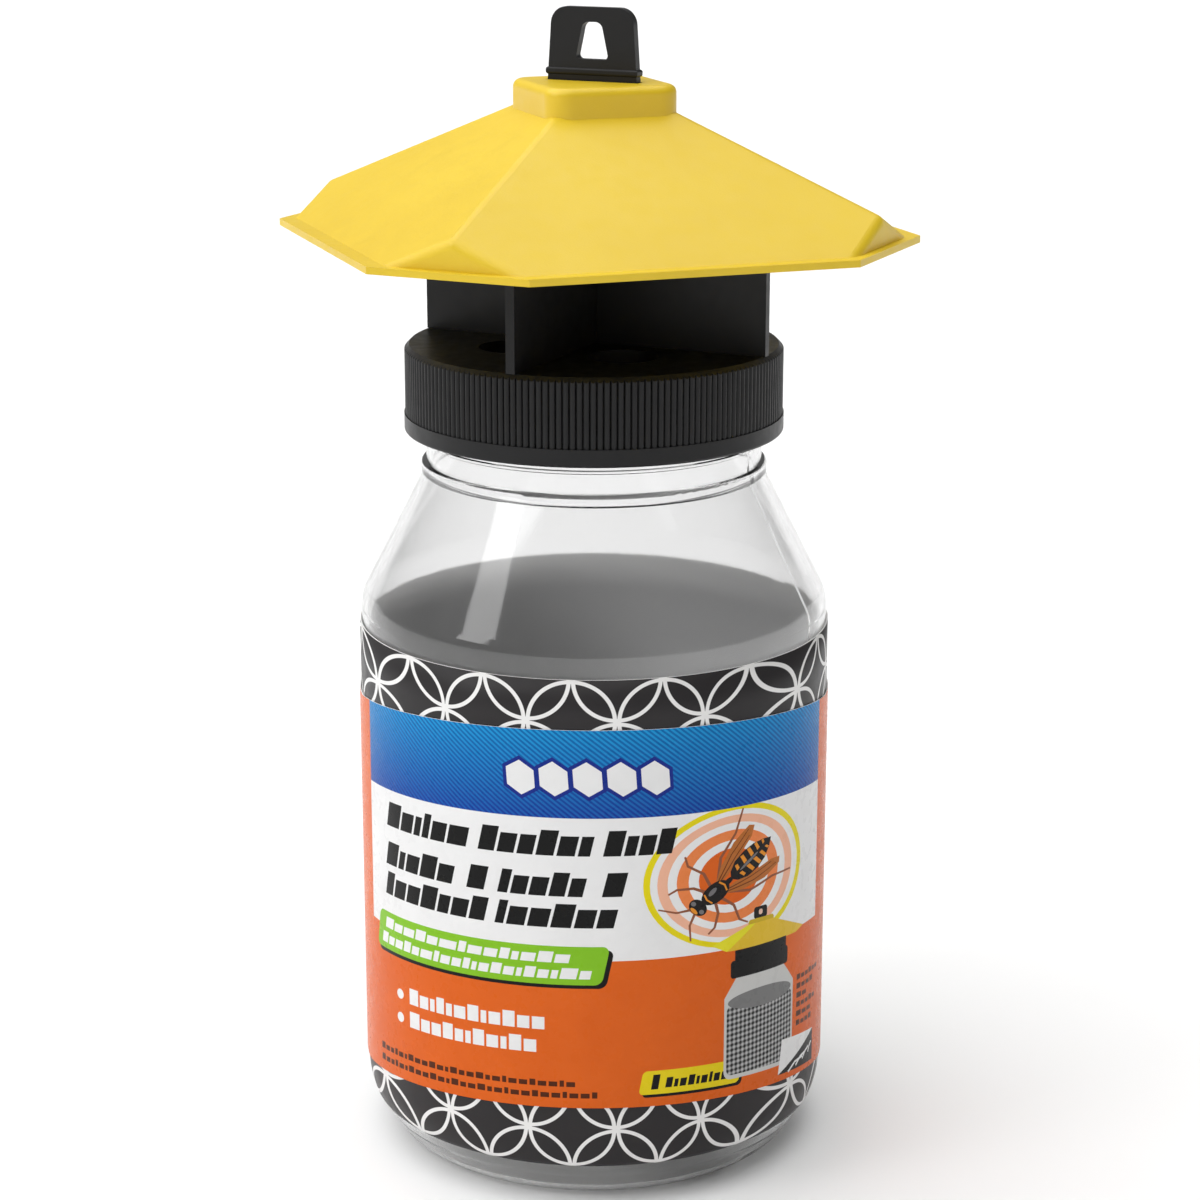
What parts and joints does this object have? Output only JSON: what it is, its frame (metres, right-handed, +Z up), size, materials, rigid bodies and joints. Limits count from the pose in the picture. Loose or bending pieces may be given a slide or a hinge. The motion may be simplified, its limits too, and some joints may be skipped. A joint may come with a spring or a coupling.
{
  "type": "wasp trap",
  "caption": "Hanging insect trap: clear screw-top jar, knurled cap with entry holes, crossed vanes, pyramid roof and keyhole hanger.",
  "frame": {"origin": "on the axis, at the bottom of the jar", "axes": "+Z up along the jar; the hanger and one vane lie along X, the other vane along Y"},
  "size_m": [0.1192, 0.1192, 0.223],
  "materials": {
    "clear_jar": "clear, glossy",
    "sleeve_film": "printed film, semi-gloss",
    "label_film": "printed film, gloss",
    "sachet_film": "white film, semi-gloss",
    "seal_foam": "soft white foam",
    "black_plastic": "moulded, satin",
    "yellow_plastic": "moulded, fine matte"
  },
  "bodies": {
    "jar_body": {"jar": "clear_jar", "sleeve_label": "sleeve_film", "peel_label": "label_film", "bait_sachet": "sachet_film"},
    "seal_body": {"seal_ring": "seal_foam"},
    "cap_body": {"screw_cap": "black_plastic", "hanger_vane": "black_plastic", "cross_vane": "black_plastic"},
    "roof_body": {"roof": "yellow_plastic"}
  },
  "joints": [
    {"name": "cap_lift", "type": "slide", "parent": "jar_body", "child": "seal_body", "axis": [0, 0, 1], "range_m": [0, 0.00847]},
    {"name": "cap_turn", "type": "hinge", "parent": "seal_body", "child": "cap_body", "pos_m": [0, 0, 0.15], "axis": [0, 0, 1], "range_deg": [0, 720]},
    {"name": "roof_lift", "type": "slide", "parent": "cap_body", "child": "roof_body", "axis": [0, 0, 1], "range_m": [0, 0.045]}
  ],
  "couplings": [
    {"joint": "cap_lift", "follows": "cap_turn", "m_per_rad": 0.0006737}
  ]
}
